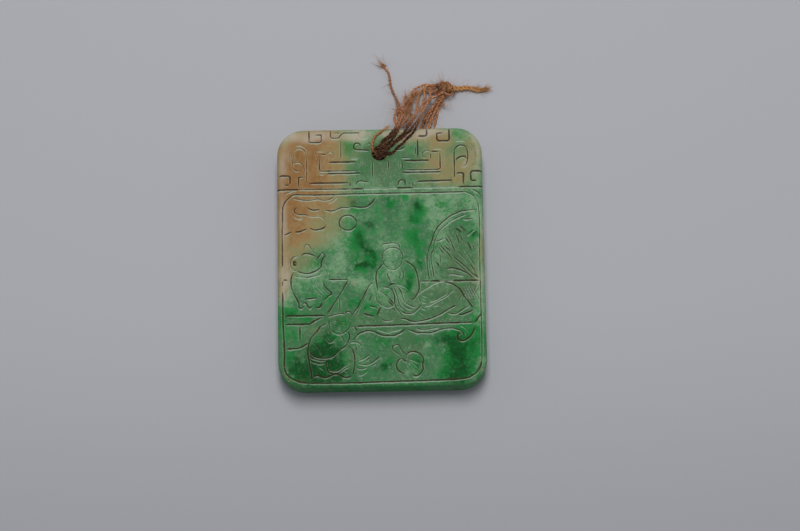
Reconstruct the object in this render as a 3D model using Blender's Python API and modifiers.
"""Pendant plaque of carved jade, lying on its back, with the thread that it hung by.

Metres, +Z up. The engraved face looks up, +Y runs towards the end with the hole, and the
origin is under the middle of the plaque, on the surface that it lies on. The thread is
wound through the hole several times and passes under the plaque, so the end with the
hole lies a thread's thickness higher than the other end.
"""

import math

import bmesh
import bpy
import numpy as np
from mathutils import Vector

MM = 0.001

# The plaque
WIDTH = 43.0 * MM
HEIGHT = 55.2 * MM
THICKNESS = 6.0 * MM
CORNER_RADIUS = 5.5 * MM
EDGE_RADIUS = 1.0 * MM
CORNER_STEPS = 8
EDGE_STEPS = 3

# The hole that the thread runs through, and the worn flare at its two mouths
HOLE_RADIUS = 1.5 * MM
HOLE_FLARE = 0.3 * MM
HOLE_Y = 22.2 * MM
HOLE_SIDES = 32

# The sunk frame round the picture panel, and the rule that parts it from the band above:
# both are V grooves, cut by square bars that lie on edge a little proud of the face
BAR_RADIUS = 0.23 * MM
BAR_PROUD = 0.03 * MM
FRAME_X = 20.45 * MM
FRAME_LOW_Y = -26.35 * MM
FRAME_HIGH_Y = 13.45 * MM
FRAME_CORNER = 3.4 * MM
RULE_Y = 14.5 * MM

# The thread, and how far it lifts the plaque at the lower rim of the hole
THREAD = 0.45 * MM
LIFT = 0.49 * MM
TUBE_STEP = 2.5 * THREAD
BELOW_THE_PLAQUE = 0.42 * MM
TAIL_THICKNESS = 1.0 * MM

TILT = math.asin(LIFT / (HOLE_Y - HOLE_RADIUS + HEIGHT / 2 - EDGE_RADIUS))


def collection(name):
    made = bpy.data.collections.new(name)
    bpy.context.scene.collection.children.link(made)
    return made


def material(name, colour, roughness):
    made = bpy.data.materials.new(name)
    made.use_nodes = True
    shader = made.node_tree.nodes["Principled BSDF"]
    shader.inputs["Base Color"].default_value = (*colour, 1.0)
    shader.inputs["Roughness"].default_value = roughness
    shader.inputs["Metallic"].default_value = 0.0
    return made


def place(obj, home, finish=None):
    home.objects.link(obj)
    if finish:
        obj.data.materials.append(finish)
    return obj


def smooth(obj):
    obj.data.shade_smooth()
    obj.data.set_sharp_from_angle(angle=math.radians(35))


def mesh_of_curve(curve, name):
    """A curve object's shape as a welded mesh object, in the curve's place."""
    bpy.context.scene.collection.objects.link(curve)
    bpy.context.view_layer.update()
    depsgraph = bpy.context.evaluated_depsgraph_get()
    mesh = bpy.data.meshes.new_from_object(curve.evaluated_get(depsgraph))
    placed = curve.matrix_world.copy()
    bpy.data.objects.remove(curve)
    mesh.name = name
    made = bpy.data.objects.new(name, mesh)
    made.matrix_world = placed
    shape = bmesh.new()
    shape.from_mesh(mesh)
    bmesh.ops.remove_doubles(shape, verts=shape.verts, dist=1e-6)
    bmesh.ops.dissolve_limit(shape, angle_limit=math.radians(0.1), verts=shape.verts, edges=shape.edges)
    bmesh.ops.recalc_face_normals(shape, faces=shape.faces)
    shape.to_mesh(mesh)
    shape.free()
    return made


def poly_curve(name, points, closed, flat):
    data = bpy.data.curves.new(name, "CURVE")
    data.dimensions = "2D" if flat else "3D"
    spline = data.splines.new("POLY")
    spline.points.add(len(points) - 1)
    for knot, point in zip(spline.points, points):
        knot.co = (*point, 1.0)
    spline.use_cyclic_u = closed
    return bpy.data.objects.new(name, data)


def extruded(name, outline, low, high):
    """A flat outline, given in plan, as a slab from the height low to the height high."""
    curve = poly_curve(name, [(x, y, 0.0) for x, y in outline], closed=True, flat=True)
    curve.data.fill_mode = "BOTH"
    curve.data.extrude = (high - low) / 2
    curve.location.z = (high + low) / 2
    return mesh_of_curve(curve, name)


def tube(name, points, radius, closed=False, resolution=2):
    curve = poly_curve(name, points, closed, flat=False)
    curve.data.fill_mode = "FULL"
    curve.data.bevel_depth = radius
    curve.data.bevel_resolution = resolution
    curve.data.use_fill_caps = not closed
    return curve


def arc(centre, radius, start, end, steps):
    """Points on a circle in plan, from one angle to the other, in degrees."""
    angles = [math.radians(start + (end - start) * i / steps) for i in range(steps + 1)]
    return [(centre[0] + radius * math.cos(a), centre[1] + radius * math.sin(a)) for a in angles]


def rounded_rectangle(low, high, radius, steps):
    x = (low[0] + radius, high[0] - radius)
    y = (low[1] + radius, high[1] - radius)
    corners = ((x[1], y[1], 0), (x[0], y[1], 90), (x[0], y[0], 180), (x[1], y[0], 270))
    points = []
    for cx, cy, start in corners:
        points += arc((cx, cy), radius, start, start + 90, steps)
    return points


def smooth_route(points, step):
    """Points about a step apart on the Catmull-Rom curve through the route's own points."""
    knots = [np.array(p) * MM for p in points]
    knots = [2 * knots[0] - knots[1]] + knots + [2 * knots[-1] - knots[-2]]
    route = []
    for a, b, c, d in zip(knots, knots[1:], knots[2:], knots[3:]):
        count = max(1, round(float(np.linalg.norm((c - b)[:3])) / step))
        for i in range(count):
            t = i / count
            bend = (2 * a - 5 * b + 4 * c - d) * t**2 + (3 * b - a - 3 * c + d) * t**3
            route.append(b + 0.5 * (c - a) * t + 0.5 * bend)
    return route + [knots[-2]]


def cutter(obj, home):
    home.objects.link(obj)
    obj.hide_render = True
    obj.display_type = "WIRE"
    return obj


def cut(target, tool):
    made = target.modifiers.new(tool.name, "BOOLEAN")
    made.operation = "DIFFERENCE"
    made.solver = "EXACT"
    made.object = tool


def hole_cutter():
    """A turned plug that widens by the flare at each face of the plaque."""
    wide = HOLE_RADIUS + HOLE_FLARE
    past = 1.0 * MM
    profile = [(0.0, THICKNESS + past), (wide, THICKNESS + past)]
    for turn in (0, 30, 60, 90):
        a = math.radians(turn)
        profile.append((wide - HOLE_FLARE * math.sin(a), THICKNESS - HOLE_FLARE * (1 - math.cos(a))))
    profile += [(r, THICKNESS - z) for r, z in reversed(profile)]
    mesh = bpy.data.meshes.new("hole_cutter")
    corners = [(r, 0.0, z) for r, z in profile]
    mesh.from_pydata(corners, [(i, i + 1) for i in range(len(corners) - 1)], [])
    made = bpy.data.objects.new("hole_cutter", mesh)
    made.location.y = HOLE_Y
    turned = made.modifiers.new("turned", "SCREW")
    turned.steps = HOLE_SIDES
    turned.render_steps = HOLE_SIDES
    turned.use_merge_vertices = True
    turned.merge_threshold = 0.00001
    return made


def rule_points(height, outward):
    """The rule's line across the plaque and over the rounded edges, on one face."""
    turns = [math.radians(25 * i) for i in range(4)]
    around = EDGE_RADIUS + BAR_PROUD
    side = [(WIDTH / 2 - EDGE_RADIUS + around * math.sin(a), around * (1 - math.cos(a))) for a in turns]
    right = [(x, RULE_Y, height - outward * drop) for x, drop in side]
    left = [(-x, y, z) for x, y, z in reversed(right)]
    return left + right


def groove_cutters(home):
    """A ring and a straight bar for each face, square in section and on edge."""
    frame = rounded_rectangle((-FRAME_X, FRAME_LOW_Y), (FRAME_X, FRAME_HIGH_Y), FRAME_CORNER, 6)
    made = []
    for side, height, outward in (("front", THICKNESS + BAR_PROUD, 1), ("back", -BAR_PROUD, -1)):
        ring = tube(f"{side}_frame_cutter", [(x, y, height) for x, y in frame], BAR_RADIUS, True, 0)
        rule = tube(f"{side}_rule_cutter", rule_points(height, outward), BAR_RADIUS, False, 0)
        made += [mesh_of_curve(ring, ring.name), mesh_of_curve(rule, rule.name)]
    return [cutter(obj, home) for obj in made]


def plaque(home, tools, finish):
    low = (-WIDTH / 2, -HEIGHT / 2)
    high = (WIDTH / 2, HEIGHT / 2)
    outline = rounded_rectangle(low, high, CORNER_RADIUS, CORNER_STEPS)
    slab = place(extruded("jade_plaque", outline, 0.0, THICKNESS), home, finish)
    slab.data.transform(slab.matrix_world)
    rounding = slab.modifiers.new("edges", "BEVEL")
    rounding.width = EDGE_RADIUS
    rounding.segments = EDGE_STEPS
    rounding.limit_method = "ANGLE"
    rounding.angle_limit = math.radians(60)
    for tool in [cutter(hole_cutter(), tools), *groove_cutters(tools)]:
        tool.parent = slab
        cut(slab, tool)
    slab.rotation_euler.x = TILT
    slab.location.y = THICKNESS / 2 * math.sin(TILT)
    slab.location.z = (HEIGHT / 2 - EDGE_RADIUS) * math.sin(TILT)
    smooth(slab)
    return slab


def bundle(name, stations, sides=12):
    """A loft through oval sections: each station is x, y, z, half its width and half its depth."""
    route = smooth_route(stations, 1.0 * MM)
    spine = [Vector(station[:3]) for station in route]
    turns = [2 * math.pi * j / sides for j in range(sides)]
    up = Vector((0.0, 0.0, 1.0))
    across = (spine[-1] - spine[0]).cross(up)
    shape = bmesh.new()
    rings = []
    for i, (point, station) in enumerate(zip(spine, route)):
        ahead = (spine[min(i + 1, len(spine) - 1)] - spine[max(i - 1, 0)]).normalized()
        if abs(ahead.z) < 0.7:
            across = ahead.cross(up)
        across = (across - ahead * across.dot(ahead)).normalized()
        wide = across * station[3]
        deep = across.cross(ahead) * station[4]
        rings.append([shape.verts.new(point + wide * math.cos(a) + deep * math.sin(a)) for a in turns])
    for one, two in zip(rings, rings[1:]):
        for j in range(sides):
            k = (j + 1) % sides
            shape.faces.new((one[j], one[k], two[k], two[j]))
    shape.faces.new(rings[0])
    shape.faces.new(rings[-1])
    bmesh.ops.recalc_face_normals(shape, faces=shape.faces)
    mesh = bpy.data.meshes.new(name)
    shape.to_mesh(mesh)
    shape.free()
    return bpy.data.objects.new(name, mesh)


# The thread's turns and ends, in millimetres: x, y, z, and on the bundle the half width
# and half depth of its oval section.

FRONT_TURNS = [
    (0.10, 22.20, 0.62, 1.00, 1.00),
    (0.10, 22.20, 2.60, 1.00, 1.00),
    (0.10, 22.22, 4.80, 1.00, 0.95),
    (0.20, 22.30, 6.10, 1.00, 0.75),
    (0.80, 22.90, 7.05, 1.15, 0.50),
    (1.90, 23.95, 7.20, 1.50, 0.42),
    (3.20, 25.10, 7.12, 1.90, 0.40),
    (4.90, 26.50, 7.12, 1.95, 0.38),
    (5.90, 27.90, 6.85, 1.95, 0.38),
    (6.90, 29.80, 5.60, 2.20, 0.42),
    (8.00, 32.60, 3.60, 2.40, 0.55),
    (9.00, 35.20, 2.10, 2.20, 0.75),
    (10.20, 37.00, 1.50, 1.70, 0.90),
    (11.50, 37.80, 1.30, 1.20, 0.95),
]

# Plan of the turns that lie under the plaque: x, y and half the width
BACK_TURNS = [
    (0.20, 22.10, 1.30),
    (3.40, 24.60, 1.40),
    (7.00, 27.10, 1.60),
    (9.30, 29.30, 1.80),
    (11.00, 32.20, 1.60),
    (12.40, 35.10, 1.20),
]

# Each knot: its middle, and half its size along X, Y and Z
KNOTS = {
    "string_knot": ((13.5, 37.9, 1.3), (1.75, 1.15, 1.2)),
    "string_small_knot": ((4.05, 30.3, 5.2), (0.60, 1.0, 0.60)),
}

TAIL = [
    (15.5, 37.95, 0.90),
    (17.2, 38.10, 0.60),
    (19.2, 38.20, 0.52),
    (20.8, 37.95, 0.52),
    (22.2, 37.60, 0.52),
    (23.5, 38.00, 0.52),
]

LONG_END = [
    (4.45, 31.55, 4.70),
    (4.50, 32.70, 3.90),
    (4.35, 33.90, 2.80),
    (3.95, 35.10, 1.60),
    (3.50, 36.40, 0.75),
    (2.95, 37.80, 0.32),
    (2.55, 39.40, 0.25),
    (2.40, 40.80, 0.24),
    (2.10, 42.00, 0.24),
    (1.60, 42.95, 0.24),
    (1.00, 43.75, 0.24),
]

SHORT_END = [
    (-1.35, 22.80, 6.86),
    (-1.50, 24.00, 6.87),
    (-1.15, 25.20, 6.88),
    (-0.30, 26.20, 6.88),
    (0.60, 26.95, 6.76),
    (1.40, 27.60, 6.35),
]


def ribbon_outline(stations):
    """The plan of a band with round ends, as wide as each station says."""
    middle = [Vector(s[:2]) * MM for s in stations]
    left, right = [], []
    for i, point in enumerate(middle):
        ahead = (middle[min(i + 1, len(middle) - 1)] - middle[max(i - 1, 0)]).normalized()
        aside = Vector((-ahead.y, ahead.x)) * stations[i][2] * MM
        left.append(point + aside)
        right.append(point - aside)
    turned = []
    for first, second, end in ((left[-1], right[-1], middle[-1]), (right[0], left[0], middle[0])):
        start = math.degrees(math.atan2(*(first - end).yx))
        turned.append(arc(end, (first - end).length, start, start - 180, 8)[1:-1])
    return [tuple(p) for p in left] + turned[0] + [tuple(p) for p in reversed(right)] + turned[1]


def knot(name, centre, half):
    shape = bmesh.new()
    bmesh.ops.create_uvsphere(shape, u_segments=18, v_segments=10, radius=1.0)
    bmesh.ops.scale(shape, vec=Vector(half) * MM, verts=shape.verts)
    mesh = bpy.data.meshes.new(name)
    shape.to_mesh(mesh)
    shape.free()
    made = bpy.data.objects.new(name, mesh)
    made.location = Vector(centre) * MM
    return made


def thread(home, finish):
    place(bundle("string_front_turns", FRONT_TURNS), home, finish)
    back = extruded("string_back_turns", ribbon_outline(BACK_TURNS), 0.0, BELOW_THE_PLAQUE)
    place(back, home, finish)
    for name, (centre, half) in KNOTS.items():
        place(knot(name, centre, half), home, finish)
    for name, route, thickness in (
        ("string_tail", TAIL, TAIL_THICKNESS),
        ("string_long_end", LONG_END, THREAD),
        ("string_short_end", SHORT_END, THREAD),
    ):
        made = tube(name, smooth_route(route, TUBE_STEP), thickness / 2)
        place(mesh_of_curve(made, name), home, finish)
    for obj in home.objects:
        if obj.name.startswith("string"):
            smooth(obj)


def main():
    for obj in list(bpy.data.objects):
        bpy.data.objects.remove(obj, do_unlink=True)
    home = collection("jade plaque")
    tools = collection("cutters")
    jade = material("jade", (0.20, 0.42, 0.22), 0.28)
    brown = material("string", (0.26, 0.12, 0.05), 0.85)
    plaque(home, tools, jade)
    thread(home, brown)


main()
